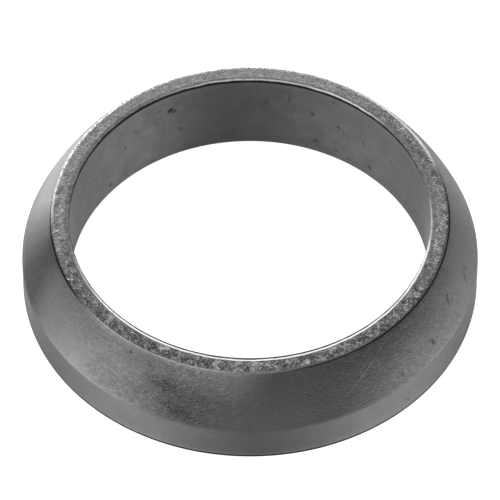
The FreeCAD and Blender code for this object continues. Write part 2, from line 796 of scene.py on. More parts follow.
@dataclass(frozen=True, kw_only=True)
class Finish:
    """What every finish has: its place on the ring, a name and one surface shader."""

    section: RingSection
    name: str

    def surface(self, spot: Spot) -> Inputs:
        """Return the surface shader's inputs. Each finish has its own way."""
        raise NotImplementedError

    def material(self) -> Material:
        """Make the finish's material.

        Returns:
            The material, with its surface shader.
        """
        material = bpy.data.materials.new(self.name)
        material.use_nodes = True
        tree = material.node_tree
        tree.nodes.clear()
        coordinates = add_node(tree, "ShaderNodeTexCoord")
        inputs = self.surface(Spot.at(tree, coordinates.outputs["Object"]))
        shader = add_node(tree, "ShaderNodeBsdfPrincipled", inputs=inputs)
        add_node(tree, "ShaderNodeOutputMaterial", inputs={"Surface": shader.outputs["BSDF"]})
        return material

    def bumped(self, relief: Signal) -> Socket:
        """Return the shading normal over a relief in millimetres."""
        bump = add_node(relief.tree, "ShaderNodeBump", inputs={"Height": relief, "Distance": MM})
        return bump.outputs["Normal"]

    def knitted(self, spot: Spot, slants: tuple[Slant, ...], reach: float) -> Signal:
        """Return the height of wires on both slants of a flat, wrapped at a radius."""
        wrapped = spot.wrapped(reach, spot.radius)
        return combined("MAXIMUM", [slant.value(spot.tree, wrapped, reach) for slant in slants])


@dataclass(frozen=True, kw_only=True)
class PressedSkin(Finish):
    """Graphite rubbed into knitted wire and pressed smooth, as on the ball seat and band.

    It is nearly black itself. What lights it is a broad satin shine, broken by a grain
    like orange peel, by flat scales that the die drew round the ring and by the wires
    that show through on both slants. Its tone round the ring carries painted highlights
    and painted shade, with some wear, and a painted highlight runs along the crease.
    """

    name: str = "pressed_graphite_skin"
    deep: str = "#191919"
    # The light end of the skin's tone, reached by wear, scratches and painted highlights.
    pale: str = "#A6A6A6"
    share: float = 0.13
    roughness: float = 0.45
    wrap_radius: float = 33.0
    # Graphite flakes are nearer 0.1 mm; finer than this their grain doesn't show.
    grain: Lumps = Lumps.even(0.38, 2.0)
    grain_height: float = 0.006
    # The scales' ridges lie 0.35 mm apart and run 1.4 mm round the ring: two lumps each.
    scales: Lumps = Lumps((0.7, 0.7, 0.17), 0.0)
    scale_height: float = 0.46
    scale_bend: float = 2.5
    scale_shade: Shade = Shade(0.36, 0.64, -0.14, 0.14)
    least_ripple: float = 0.28
    # Where the ripple fades, from the crease up, and what is left of it at the crease.
    ripple_fade: float = 0.8
    crease_ripple: float = 0.3
    # The wire is about 0.2 mm thick, a little less than the streak that it shows as.
    slants: tuple[Slant, ...] = (Slant(42, 0.26, 1.6), Slant(-50, 0.26, 1.6))
    streak_height: float = 0.012
    streak_shade: Shade = Shade(0.30, 0.60, 0.94, 1.06)
    mottle: Lumps = Lumps.even(4.0, 4.0)
    mottle_shade: Shade = Shade(0.30, 0.70, 0.90, 1.10)
    # The seat's painted light and wear stop at the crease, where a painted highlight line of its own
    # runs.
    crease_blur: float = 0.25
    line_starts: tuple[float, float] = (-0.05, 0.25)
    line_ends: tuple[float, float] = (0.75, 0.35)
    # Painted shade blackens the foot of the band and dulls its shine there, and just over it the band
    # is painted lighter, against the floor's shade.
    foot_shade: Shade = Shade(0.42, 0.66, 0.06, 1.0, True)
    over_foot: Shade = Shade(0.9, 2.4, 1.25, 1.0)
    shine: float = 0.5
    # A stain fills the scales' valleys first. It is nearly black and nearly matt.
    fraying: Lumps = Lumps.even(1.2, 3.0)
    fray_reach: float = 2.0
    dirt_shade: Shade = Shade(0.56, 0.40, 0.25, 1.0)
    dirt_tone: float = 0.1
    dirt_shine: float = 0.25
    dirt_relief: float = 0.3
    nick_reach: float = 0.3
    spot_tone: float = 0.3
    spot_shine: float = 0.5
    spot_depth: float = 0.03
    scratch_tone: float = 0.28
    # Lighter and darker sectors of the seat: mostly painted highlights and painted shade, with some
    # wear.
    seat_painted_light_and_wear: Sectors = (
        Sector(-136, 17, 17, 0.48, (14.0, 7.0)),
        Sector(-128, 12, 12, 0.17),
        Sector(-152, 9, 9, 0.11),
        Sector(-163, 7, 6, -0.09, (12.0, 7.5)),
        Sector(-36, 18, 18, 0.46, (13.5, 6.6)),
        Sector(-30, 24, 16, 0.22, (14.5, 9.0)),
        Sector(-200, 18, 16, 1.3, (3.0, 14.5)),
        Sector(-168, 6, 6, -0.17),
        Sector(-180, 6, 6, -0.17, (6.6, 8.0)),
        Sector(-103, 12, 9, 0.30, (10.5, 14.3)),
        Sector(-68, 28, 14, -0.10, (8.0, 14.0)),
        Sector(22, 14, 12, 0.23),
        Sector(82, 26, 20, 0.19, (14.0, 7.0)),
        Sector(-115, 26, 10, 0.23, (14.4, 14.9)),
        Sector(-18, 34, 12, -0.09, (14.2, 14.9)),
        Sector(-164, 16, 8, -0.08, (14.2, 14.9)),
    )
    # Lighter and darker sectors of the band: mostly painted highlights and painted shade, with some
    # wear.
    band_painted_light_and_wear: Sectors = (
        Sector(-121, 17, 17, 0.38),
        Sector(-52, 19, 18, 0.63),
        Sector(95, 26, 20, 0.19),
        Sector(-9, 5, 5, -0.12, (3.0, 0.8)),
        Sector(-171, 5, 5, -0.12, (3.0, 0.8)),
        Sector(-92, 34, 8, 0.13, (1.0, 0.75)),
    )
    # A painted highlight along the crease.
    painted_crease_highlight: Sectors = (
        Sector(-134, 16, 8, 0.09),
        Sector(-44, 20, 10, 0.08),
    )
    rippled: Sectors = (
        Sector(-124, 12, 8, 1.0, (13.0, 9.5)),
        Sector(-108, 11, 8, 1.0),
        Sector(-48, 30, 14, 1.0),
    )
    stains: tuple[Mark, ...] = (
        Mark(-112.5, 11.6, 11.0, 3.2, -10, 0.74, 0.1),
        Mark(-108.8, 8.4, 9.5, 3.0, -8, 0.8, 0.1),
        Mark(-111.0, 10.0, 13.0, 8.0, 0, 0.15, 0.1),
        Mark(-118.0, 13.4, 2.4, 1.0, 0, 0.6, 0.1),
    )
    spots: tuple[Mark, ...] = (
        Mark(-24.1, 11.3, 1.0, 2.0, -15, 0.85),
        Mark(-23.4, 11.8, 0.8, 0.9, 0, 0.5),
        Mark(-35.4, 8.9, 1.0, 1.7, 15, 0.9),
        Mark(-36.4, 9.5, 0.8, 1.1, 25, 0.7),
        Mark(-30.9, 9.4, 0.7, 1.2, 0, 0.3),
        Mark(-48.0, 8.2, 0.8, 1.2, 0, 0.65),
        Mark(-18.6, 14.1, 1.4, 1.2, 0, 0.55),
        Mark(-13.3, 9.7, 3.1, 0.6, 52, 1.0),
        Mark(-11.0, 10.2, 2.2, 0.6, -46, 0.8),
        Mark(1.9, 11.0, 2.2, 0.45, -45, 0.5),
        Mark(15.0, 12.9, 0.8, 1.7, 10, 0.5),
        Mark(-46.9, 4.0, 0.5, 1.2, 0, 0.5),
        Mark(-47.3, 2.3, 2.9, 0.5, -50, 0.5),
        Mark(-124.9, 13.9, 0.7, 0.6, 0, 0.9),
    )
    scratches: tuple[Mark, ...] = (
        Mark(-59.0, 11.3, 17.0, 0.2, 28.5, 1.0, 0.4),
        Mark(-57.4, 12.6, 7.0, 0.18, 30, 0.6, 0.4),
        Mark(-164.9, 12.2, 6.4, 0.18, 56, 0.45, 0.4),
    )

    def tone(self, spot: Spot) -> Signal:
        """Work out how light the skin is by its painted light and wear alone.

        Args:
            spot: where the finish is read.

        Returns:
            The share of the pale colour.
        """
        crease = self.section.sizes.band_height
        on_seat = spot.height.ramp(crease - self.crease_blur, crease + self.crease_blur)
        on_band = on_seat.ramp(1.0, 0.0)
        below = spot.height.ramp(*[crease + rise for rise in self.line_starts], smooth=True)
        above = spot.height.ramp(*[crease + rise for rise in self.line_ends], smooth=True)
        seat = added(spot, self.seat_painted_light_and_wear) * on_seat
        band = added(spot, self.band_painted_light_and_wear) * on_band
        line = strongest(spot, self.painted_crease_highlight) * below * above
        return seat + band + line + self.share

    def marked(self, spot: Spot, place: Socket, marks: tuple[Mark, ...]) -> Signal:
        """Lay several marks on the outside, each at the radius that its height has.

        Args:
            spot: where the finish is read.
            place: the same point, bent as the marks' outlines should be.
            marks: the marks.

        Returns:
            The strongest mark's amount.
        """
        sizes = self.section.sizes
        return combined("MAXIMUM", [
            mark.mask(spot.tree, place, sizes.outside_at(mark.height)) for mark in marks
        ])

    def surface(self, spot: Spot) -> Inputs:
        """Work out the surface shader's inputs.

        Args:
            spot: where the finish is read.

        Returns:
            Values and sockets, by input name.
        """
        tree = spot.tree
        crease = self.section.sizes.band_height
        wavy = self.mottle.bend(spot, spot.wrapped(self.wrap_radius, spot.height), self.scale_bend)
        scales = self.scales.value(tree, wavy)
        streaks = combined("MINIMUM", [
            slant.value(tree, wavy, self.wrap_radius) for slant in self.slants
        ])
        ripple = strongest(spot, self.rippled).joined("MAXIMUM", self.least_ripple)
        ripple *= spot.height.ramp(crease, crease + self.ripple_fade, self.crease_ripple)
        nicked = self.grain.bend(spot, spot.place, self.nick_reach)
        frayed = self.fraying.bend(spot, spot.place, self.fray_reach)
        stain = self.marked(spot, frayed, self.stains)
        spots = self.marked(spot, nicked, self.spots)
        scratches = self.marked(spot, nicked, self.scratches)
        dirt = stain * scales.shaded(self.dirt_shade)
        # Painted shade at the band's foot, on its colour and on its shine.
        foot = spot.height.shaded(self.foot_shade)

        share = self.tone(spot)
        share *= scales.shaded(self.scale_shade) * ripple + 1.0
        share *= streaks.shaded(self.streak_shade)
        share *= self.mottle.value(tree, spot.place).shaded(self.mottle_shade)
        share *= dirt.ramp(0.0, 1.0, 1.0, self.dirt_tone)
        share *= spots.ramp(0.0, 1.0, 1.0, self.spot_tone)
        share *= spot.height.shaded(self.over_foot) * foot
        share += scratches * self.scratch_tone

        relief = scales * (ripple + stain * self.dirt_relief) * self.scale_height
        relief += streaks * self.streak_height
        relief += self.grain.value(tree, spot.place) * self.grain_height
        relief += spots * -self.spot_depth
        shine = foot * self.shine * dirt.ramp(0.0, 1.0, 1.0, self.dirt_shine)
        shine *= spots.ramp(0.0, 1.0, 1.0, self.spot_shine)
        return {
            "Base Color": painted(share, self.deep, self.pale),
            "Roughness": self.roughness,
            "IOR": 1.5,
            "Specular IOR Level": shine,
            "Normal": self.bumped(relief),
        }


@dataclass(frozen=True, kw_only=True)
class BoreSkin(Finish):
    """The bore, ironed smooth by the core of the die: finer satin, with small black pits."""

    name: str = "ironed_bore"
    deep: str = "#191919"
    # The light end of the bore's tone, which its painted highlights reach.
    pale: str = "#949494"
    # Black of the pits, and of the painted shade under the mouth.
    pit_and_shade: str = "#0E0E0E"
    share: float = 0.15
    roughness: float = 0.42
    # As fine as the grain can be and still show; the flakes are nearer 0.1 mm.
    grain: Lumps = Lumps.even(0.3, 2.0)
    grain_height: float = 0.004
    grain_shade: Shade = Shade(0.30, 0.70, 0.90, 1.10)
    shine: float = 0.5
    pit_reach: float = 0.45
    pit_depth: float = 0.03
    pit_and_shade_roughness: float = 0.7
    pit_and_shade_shine: float = 0.15
    mottle: Lumps = Lumps.even(3.0, 5.0)
    mottle_shade: Shade = Shade(0.30, 0.70, 0.75, 1.25)
    # The core of the die drew these lines along the bore as it was pulled out.
    drawn: Lumps = Lumps((0.45, 0.45, 6.0), 3.0)
    drawn_shade: Shade = Shade(0.30, 0.70, 0.94, 1.06)
    # Painted shade blackens the last of the wall under the mouth, over this height.
    mouth: Sector = Sector(95, 88, 8)
    mouth_shade: float = 0.55
    mouth_fade: float = 0.7
    # Painted highlights on the bore: lighter lobes round the ring.
    painted_light: Sectors = (
        Sector(53, 23, 22, 0.44, (25.0, 2.0)),
        Sector(133, 19, 18, 0.50),
        Sector(3, 8, 7, 0.60, (13.0, 2.0)),
        Sector(-70, 30, 30, 0.25),
        Sector(-150, 20, 20, 0.2),
    )
    pits: tuple[Mark, ...] = (
        Mark(116.6, 11.1, 1.7, 1.3, -30, 0.9),
        Mark(115.2, 10.6, 1.5, 0.7, -35, 0.72),
        Mark(120.5, 11.9, 0.8, 0.7, 0, 0.5),
        Mark(129.6, 9.8, 1.1, 0.7, 30, 0.58),
        Mark(113.1, 5.9, 2.2, 1.1, 35, 0.36),
        Mark(134.4, 7.7, 1.0, 0.7, 30, 0.65),
        Mark(150.5, 7.2, 1.0, 0.7, 0, 0.43),
        Mark(141.8, 2.0, 1.8, 1.0, 40, 0.5),
        Mark(121.5, 8.9, 0.7, 0.7, 0, 0.36),
        Mark(77.1, 11.2, 0.7, 2.6, 12, 0.36),
        Mark(85.0, 9.5, 0.7, 2.5, 40, 0.29),
        Mark(69.4, 8.8, 1.1, 1.7, 20, 0.43),
        Mark(60.1, 7.8, 1.0, 0.8, 0, 0.65),
        Mark(62.4, 13.3, 1.0, 0.7, 0, 0.5),
        Mark(68.2, 2.6, 1.1, 1.1, 0, 0.5),
        Mark(60.6, 2.0, 2.2, 0.8, 30, 0.43),
        Mark(50.3, 6.9, 0.8, 1.7, 0, 0.36),
        Mark(47.5, 2.2, 1.3, 1.1, 0, 0.65),
        Mark(38.0, 7.8, 1.0, 0.8, 0, 0.43),
        Mark(81.0, 1.6, 1.0, 0.5, 0, 0.43),
        Mark(74.0, 1.5, 1.1, 0.5, 20, 0.36),
        Mark(56.0, 1.2, 1.3, 0.5, 0, 0.43),
        Mark(104.0, 12.6, 0.7, 0.5, 0, 0.36),
        Mark(145.0, 12.0, 0.7, 0.7, 30, 0.29),
    )

    def surface(self, spot: Spot) -> Inputs:
        """Work out the surface shader's inputs.

        Args:
            spot: where the finish is read.

        Returns:
            Values and sockets, by input name.
        """
        tree = spot.tree
        sizes = self.section.sizes
        grain = self.grain.value(tree, spot.place)
        frayed = self.grain.bend(spot, spot.place, self.pit_reach)
        pits = combined("MAXIMUM", [
            mark.mask(tree, frayed, sizes.bore_radius) for mark in self.pits
        ])

        # Painted highlights on the bore's tone.
        share = added(spot, self.painted_light) + self.share
        share *= self.mottle.value(tree, spot.place).shaded(self.mottle_shade)
        share *= self.drawn.value(tree, spot.place).shaded(self.drawn_shade)
        share *= grain.shaded(self.grain_shade)
        # Painted shade under the mouth, in the pits' colour and with their dull shine.
        top = sizes.height - sizes.lip_depth
        shaded = (top - self.mouth_shade, top - self.mouth_shade * self.mouth_fade)
        rim = self.mouth.mask(spot) * spot.height.ramp(*shaded, smooth=True)
        dark = pits.joined("MAXIMUM", rim)
        return {
            "Base Color": painted(dark, painted(share, self.deep, self.pale), self.pit_and_shade),
            "Roughness": dark.ramp(0.0, 1.0, self.roughness, self.pit_and_shade_roughness),
            "IOR": 1.5,
            "Specular IOR Level": dark.ramp(0.0, 1.0, self.shine, self.pit_and_shade_shine),
            "Normal": self.bumped(grain * self.grain_height + pits * -self.pit_depth),
        }


@dataclass(frozen=True, kw_only=True)
class BurnishedLip(Finish):
    """Steel laid bare and polished where the pipe rubs, under graphite elsewhere.

    A black line of painted shade edges the bore, and just outside it bare steel is placed
    to paint the lip's highlight. Both lie further out at the front and at the back.
    """

    name: str = "burnished_lip"
    # Bare steel, placed sector by sector to paint the lip's highlight.
    bare_steel_and_highlight: str = "#F4F4F4"
    covered: str = "#727272"
    # Black of the graphite specks, and of the painted shade line.
    edge: str = "#0A0A0A"
    roughness: float = 0.22
    cover_roughness: float = 0.6
    shine: float = 0.5
    line_shine: float = 0.1
    front_lean: float = 0.48
    back_lean: float = 0.2
    bare_from: Shade = Shade(28.43, 28.48, smooth=True)
    bare_to: Shade = Shade(28.82, 28.70, smooth=True)
    nicks: Lumps = Lumps.even(0.7, 3.0)
    nick_shade: Shade = Shade(0.30, 0.40, 0.55, 1.0)
    cover_shade: Shade = Shade(0.30, 0.60, 0.25, 1.0)
    waver: Lumps = Lumps.even(2.5, 2.0)
    waver_shade: Shade = Shade(0.3, 0.7, -0.05, 0.05)
    # Where the steel is bare: placed sector by sector to paint the lip's highlight.
    painted_light: Sectors = (
        Sector(-92, 56, 9, 1.0),
        Sector(-154, 9, 8, 0.35),
        Sector(-24, 14, 7, 0.95),
        Sector(-4, 9, 7, 0.35),
        Sector(59, 14, 8, 0.42),
        Sector(86, 26, 14, 0.3),
    )
    # A black line of painted shade along the bore's edge.
    painted_shade_lines: Sectors = (
        Sector(-93, 78, 10, 0.75),
        Sector(95, 88, 8, 0.95),
    )
    # Here the painted shade line and the bare band reach further out.
    wide_lines: Sectors = (
        Sector(146, 26, 12, -0.12),
        Sector(-178, 12, 8, -0.12),
    )

    def surface(self, spot: Spot) -> Inputs:
        """Work out the surface shader's inputs.

        Args:
            spot: where the finish is read.

        Returns:
            Values and sockets, by input name.
        """
        tree = spot.tree
        nick = self.nicks.value(tree, spot.place)
        waver = self.waver.value(tree, spot.place).shaded(self.waver_shade)
        facing = add_node(tree, "ShaderNodeSeparateXYZ", inputs={0: spot.direction})
        back = Signal(tree, facing.outputs[1])
        lean = (back * self.front_lean).joined("MINIMUM", back * -self.back_lean)
        away = spot.radius + lean + waver + added(spot, self.wide_lines)
        outside = away.shaded(self.bare_from)
        inside = away.shaded(self.bare_to)

        # Bare steel as a painted highlight, and a black line of painted shade.
        share = strongest(spot, self.painted_light) * outside * inside * nick.shaded(self.nick_shade)
        painted_shade = strongest(spot, self.painted_shade_lines) * outside.ramp(1.0, 0.0)
        cover = painted(nick.shaded(self.cover_shade), self.edge, self.covered)
        return {
            "Base Color": painted(share, painted(painted_shade, cover, self.edge), self.bare_steel_and_highlight),
            "Metallic": share,
            "Roughness": share.ramp(0.0, 1.0, self.cover_roughness, self.roughness),
            "Specular IOR Level": painted_shade.ramp(0.0, 1.0, self.shine, self.line_shine),
        }


@dataclass(frozen=True)
class PaintedRimHighlight:
    """A painted highlight on the nose's outer rim, along its back and its right side.

    The wires and the bed beside it take only a share of that.
    """

    starts: float = 30.9
    full: float = 31.25
    share: float = 0.9
    sectors: Sectors = (
        Sector(100, 80, 9, 1.0),
        Sector(92, 34, 12, -0.65),
        Sector(36, 10, 8, 0.3),
        Sector(-16, 20, 10, -0.35),
    )

    def mask(self, spot: Spot) -> Signal:
        """Return the painted highlight's amount, growing outward over the rim."""
        return spot.radius.ramp(self.starts, self.full) * added(spot, self.sectors)


@dataclass(frozen=True)
class MattedPatches:
    """Patches along the nose's front where the wires lie matted flat and catch the light."""

    lumps: Lumps = Lumps.even(1.5, 1.0)
    shade: Shade = Shade(0.55, 0.64, 0.0, 0.30)
    front: Sector = Sector(-84, 66, 14)

    def mask(self, spot: Spot) -> Signal:
        """Return how much lighter the patches are."""
        matted = self.lumps.value(spot.tree, spot.place).shaded(self.shade)
        return matted * self.front.mask(spot)


@dataclass(frozen=True, kw_only=True)
class FeltBed(Finish):
    """Wire ends and graphite pressed to one grey felt, with the ends' slants in it."""

    name: str = "wire_and_graphite_felt"
    dark: str = "#161616"
    lit: str = "#A8A8A8"
    wrap_radius: float = 30.3
    # Ends of the wire at its own thickness, about 0.2 mm.
    slants: tuple[Slant, ...] = (Slant(48, 0.2, 0.7), Slant(-44, 0.2, 0.7))
    end_shade: Shade = Shade(0.44, 0.66, 0.0, 0.6)
    relief: float = 0.03
    patch: Lumps = Lumps.even(1.4, 3.0)
    patch_shade: Shade = Shade(0.35, 0.65, -0.10, 0.14)
    # Painted light: lighter at the back, a touch darker at the front.
    painted_light: Sectors = (
        Sector(118, 62, 22, 0.16),
        Sector(-85, 14, 8, -0.04),
    )
    rim: PaintedRimHighlight = PaintedRimHighlight()
    matted: MattedPatches = MattedPatches()

    def surface(self, spot: Spot) -> Inputs:
        """Work out the surface shader's inputs.

        Args:
            spot: where the finish is read.

        Returns:
            Values and sockets, by input name.
        """
        ends = self.knitted(spot, self.slants, self.wrap_radius)
        share = ends.shaded(self.end_shade)
        share += self.patch.value(spot.tree, spot.place).shaded(self.patch_shade)
        # Painted light round the ring and the rim's painted highlight.
        share += added(spot, self.painted_light)
        share += self.rim.mask(spot) * self.rim.share
        share += self.matted.mask(spot)
        return {
            "Base Color": painted(share, self.dark, self.lit),
            "Roughness": 0.6,
            "Metallic": 0.3,
            "Normal": self.bumped(ends * self.relief),
        }


@dataclass(frozen=True, kw_only=True)
class NoseSeam(Finish):
    """The nose's rim and the groove beside the seat, with painted shade and painted highlights."""

    name: str = "nose_seam"
    # Black of the painted shade in the groove.
    dark: str = "#0A0A0A"
    plain: str = "#4C4C4C"
    # The colour of the painted highlights.
    painted_highlight: str = "#E6E6E6"
    line_width: float = 0.12
    line_blur: float = 0.03
    groove_blur: tuple[float, float] = (-0.04, 0.02)
    shade_blur: tuple[float, float] = (-0.06, 0.02)
    shine: float = 0.5
    shade_shine: float = 0.1
    specks: Lumps = Lumps.even(0.4, 2.0)
    speck_shade: Shade = Shade(0.35, 0.60, 0.65, 1.0)
    # Here the groove keeps little of its painted shade.
    less_shaded: Sector = Sector(-113, 34, 8)
    kept_shade: float = 0.1
    # Painted highlights on the rim's outer line and in the groove.
    painted_line_highlight: Sectors = (
        Sector(-118, 26, 8, 0.27),
        Sector(-88, 10, 8, 0.15),
    )
    painted_groove_highlight: Sectors = (
        Sector(98, 78, 9, 0.7),
        Sector(152, 12, 6, 0.95),
    )
    # Here the groove's painted shade reaches further in.
    widening: Sectors = (
        Sector(-22, 30, 10, 0.09),
        Sector(-160, 14, 8, 0.10),
    )
    rim: PaintedRimHighlight = PaintedRimHighlight()

    def surface(self, spot: Spot) -> Inputs:
        """Work out the surface shader's inputs.

        Args:
            spot: where the finish is read.

        Returns:
            Values and sockets, by input name.
        """
        edge = self.section.rim_edge
        line_edge = edge - self.line_width
        in_groove = spot.radius.ramp(*[edge + blur for blur in self.groove_blur])
        on_rim = in_groove.ramp(1.0, 0.0)
        on_line = spot.radius.ramp(line_edge - self.line_blur, line_edge + self.line_blur)

        # The rim's painted highlight, and painted highlights on its line and in the groove.
        share = self.rim.mask(spot).joined("MAXIMUM", 0.0) * on_rim
        share += strongest(spot, self.painted_line_highlight) * on_line
        share += strongest(spot, self.painted_groove_highlight) * in_groove
        share *= self.specks.value(spot.tree, spot.place).shaded(self.speck_shade)
        # Painted shade in the groove.
        widened = spot.radius + added(spot, self.widening)
        in_shade = widened.ramp(*[edge + blur for blur in self.shade_blur])
        painted_shade = in_shade * self.less_shaded.mask(spot).ramp(0.0, 1.0, 1.0, self.kept_shade)
        return {
            "Base Color": painted(share, painted(painted_shade, self.plain, self.dark), self.painted_highlight),
            "Metallic": share,
            "Roughness": 0.45,
            "Specular IOR Level": painted_shade.ramp(0.0, 1.0, self.shine, self.shade_shine),
        }


@dataclass(frozen=True, kw_only=True)
class PressedBase(Finish):
    """The flat base: the same wire and graphite, with the knit's loops pressed into it."""

    name: str = "pressed_base"
    deep: str = "#1E1E1E"
    pale: str = "#8A8A8A"
    wrap_radius: float = 32.5
    # Loops of the same wire, a little wider where they are pressed flat.
    slants: tuple[Slant, ...] = (Slant(40, 0.25, 1.4), Slant(-40, 0.25, 1.4))
    knit_shade: Shade = Shade(0.45, 0.65, 0.10, 0.55)
    relief: float = 0.04
    patch: Lumps = Lumps.even(3.0, 4.0)
    patch_shade: Shade = Shade(0.35, 0.65, 0.5, 1.3)

    def surface(self, spot: Spot) -> Inputs:
        """Work out the surface shader's inputs.

        Args:
            spot: where the finish is read.

        Returns:
            Values and sockets, by input name.
        """
        knit = self.knitted(spot, self.slants, self.wrap_radius)
        patches = self.patch.value(spot.tree, spot.place).shaded(self.patch_shade)
        share = knit.shaded(self.knit_shade) * patches
        return {
            "Base Color": painted(share, self.deep, self.pale),
            "Roughness": 0.5,
            "Metallic": 0.2,
            "Normal": self.bumped(knit * self.relief),
        }


@dataclass(frozen=True, kw_only=True)
class WireEnds(Finish):
    """Cut ends of the steel wire, grey where graphite clings, with painted light round the ring."""

    name: str = "steel_wire_ends"
    bright: str = "#C4C4C4"
    dull: str = "#303030"
    share: float = 0.18
    # Each wire has a tone of its own, and the few brightest ones glint.
    own_shade: Shade = Shade(0.0, 1.0, -0.15, 0.22)
    glint_shade: Shade = Shade(0.86, 1.0, 0.0, 0.7)
    patch: Lumps = Lumps.even(1.6, 2.0)
    patch_shade: Shade = Shade(0.35, 0.70, -0.12, 0.16)
    # Painted light: lighter at the back and at both ends, darker at the front.
    painted_light: Sectors = (
        Sector(118, 62, 22, 0.17),
        Sector(-85, 14, 8, -0.07),
        Sector(-103, 6, 6, -0.05),
        Sector(-165, 8, 6, 0.08),
        Sector(0, 10, 9, 0.16),
        Sector(-50, 26, 10, -0.20),
        Sector(-134, 28, 10, -0.18),
        Sector(26, 16, 10, -0.05),
        Sector(74, 24, 12, 0.06),
        Sector(150, 8, 6, -0.05),
    )
    calm: Sector = Sector(116, 58, 18, 0.52)
    rim: PaintedRimHighlight = PaintedRimHighlight()
    matted: MattedPatches = MattedPatches()

    def surface(self, spot: Spot) -> Inputs:
        """Work out the surface shader's inputs.

        Args:
            spot: where the finish is read.

        Returns:
            Values and sockets, by input name.
        """
        tone = add_node(spot.tree, "ShaderNodeAttribute", {"attribute_name": WIRE_TONE})
        own = Signal(spot.tree, tone.outputs["Fac"])
        varied = own.shaded(self.own_shade)
        varied += own.shaded(self.glint_shade)
        varied += self.patch.value(spot.tree, spot.place).shaded(self.patch_shade)
        share = varied * self.calm.mask(spot).ramp(0.0, 1.0, 1.0, 0.0) + self.share
        # Painted light round the ring and the rim's painted highlight.
        share += added(spot, self.painted_light)
        share += self.rim.mask(spot) * self.rim.share
        share += self.matted.mask(spot)
        return {
            "Base Color": painted(share, self.dull, self.bright),
            "Metallic": 0.8,
            "Roughness": 0.42,
        }


@dataclass(frozen=True)
class Relief:
    """How uneven the pressing leaves the outside and the nose's rim, in millimetres.

    The waves fade in outside the lip and over the foot. The crumbs fade in towards the
    nose's radius and its top.
    """

    depth: float = 0.04
    waves: Lumps = Lumps.even(2.2, 3.0, 0.5)
    lip_fade: float = 1.0
    foot_fade: tuple[float, float] = (0.6, 1.6)
    rim_depth: float = 0.08
    crumbs: Lumps = Lumps.even(0.6, 2.0, 0.5)
    rim_fade: tuple[float, float] = (0.5, 0.1)
    top_fade: tuple[float, float] = (0.9, 0.3)


@dataclass
class PressedRing:
    """The ring itself: one section turned round the axis, with its pressed unevenness."""

    section: RingSection
    relief: Relief = Relief()
    steps: int = 900
    sharp_angle: float = 40.0

    def sunk(self, tree: Tree) -> Socket:
        """Sink each point a little below the die's form.

        Args:
            tree: the geometry node tree.

        Returns:
            The offset of each point.
        """
        sizes = self.section.sizes
        relief = self.relief
        position = add_node(tree, "GeometryNodeInputPosition")
        spot = Spot.at(tree, position.outputs[0])
        lip_end = sizes.bore_radius + sizes.lip_width
        rim = [sizes.nose_radius - fade for fade in relief.rim_fade]
        top = [sizes.height - fade for fade in relief.top_fade]
        outside = spot.radius.ramp(lip_end, lip_end + relief.lip_fade, smooth=True)
        raised = spot.height.ramp(*relief.foot_fade, smooth=True)
        near_rim = spot.radius.ramp(*rim, smooth=True)
        on_top = spot.height.ramp(*top, smooth=True)
        broad = relief.waves.value(tree, spot.place) * outside * raised
        ragged = relief.crumbs.value(tree, spot.place) * near_rim * on_top
        depth = broad * (-relief.depth * MM) + ragged * (-relief.rim_depth * MM)
        normal = add_node(tree, "GeometryNodeInputNormal")
        offset = add_node(tree, "ShaderNodeVectorMath", {"operation": "SCALE"}, {
            0: normal.outputs[0],
            "Scale": depth,
        })
        return offset.outputs[0]

    def turning_tree(self) -> Tree:
        """Build the node tree that turns the section into the ring.

        Returns:
            The tree.
        """
        tree, given = open_tree("turned_section", {
            "Section": "Geometry",
            "Centre radius": "Float",
            "Steps": "Int",
            "Finish": "Material",
        })
        profile = add_node(tree, "GeometryNodeMeshToCurve", inputs={
            "Mesh": given.outputs["Section"],
        })
        circle = add_node(tree, "GeometryNodeCurvePrimitiveCircle", inputs={
            "Resolution": given.outputs["Steps"],
            "Radius": given.outputs["Centre radius"],
        })
        upright = add_node(tree, "GeometryNodeSetCurveNormal", {"mode": "Z_UP"}, {
            "Curve": circle.outputs["Curve"],
        })
        turned = add_node(tree, "GeometryNodeCurveToMesh", inputs={
            "Curve": upright.outputs["Curve"],
            "Profile Curve": profile.outputs["Curve"],
        })
        pressed = add_node(tree, "GeometryNodeSetPosition", inputs={
            "Geometry": turned.outputs["Mesh"],
            "Offset": self.sunk(tree),
        })
        smooth = add_node(tree, "GeometryNodeSetShadeSmooth", inputs={
            "Geometry": pressed.outputs["Geometry"],
        })
        close_tree(tree, smooth.outputs["Geometry"], given.outputs["Finish"])
        return tree

    def dress(self, piece: Piece, finishes: dict[Zone, Material]) -> None:
        """Give each strip of faces the finish of its zone.

        Args:
            piece: the turned ring.
            finishes: a material for every zone.
        """
        outline = self.section.points()
        strips = []
        for start, end in zip(outline, outline[1:] + outline[:1]):
            zone = self.section.zone((start[0] + end[0]) / 2, (start[1] + end[1]) / 2)
            strips.append(zone.value)
        piece.data.materials.clear()
        for zone in Zone:
            piece.data.materials.append(finishes[zone])
        piece.data.polygons.foreach_set("material_index", strips * self.steps)

    def build(self, finishes: dict[Zone, Material]) -> Piece:
        """Turn the section, dress it and return the finished piece.

        Args:
            finishes: a material for every zone.

        Returns:
            The ring, as a plain mesh.
        """
        radius = self.section.sizes.bore_radius
        points = [((r - radius) * MM, -z * MM, 0.0) for r, z in self.section.points()]
        edges = [(index, (index + 1) % len(points)) for index in range(len(points))]
        outline = bpy.data.meshes.new("ring_section")
        outline.from_pydata(points, edges, [])
        piece = grow("pressed_ring", outline, self.turning_tree(), {
            "Centre radius": radius * MM,
            "Steps": self.steps,
            "Finish": finishes[Zone.SEAT],
        })
        self.dress(piece, finishes)
        piece.data.set_sharp_from_angle(angle=math.radians(self.sharp_angle))
        place(piece)
        return piece


class Draw(IntEnum):
    """The random choices made for each wire. The value tells one draw from the others."""

    DROP = 1
    SIDE = 2
    WANDER = 3
    LEAN = 4
    SCALE = 5
    SHAPE = 6
    TONE = 7


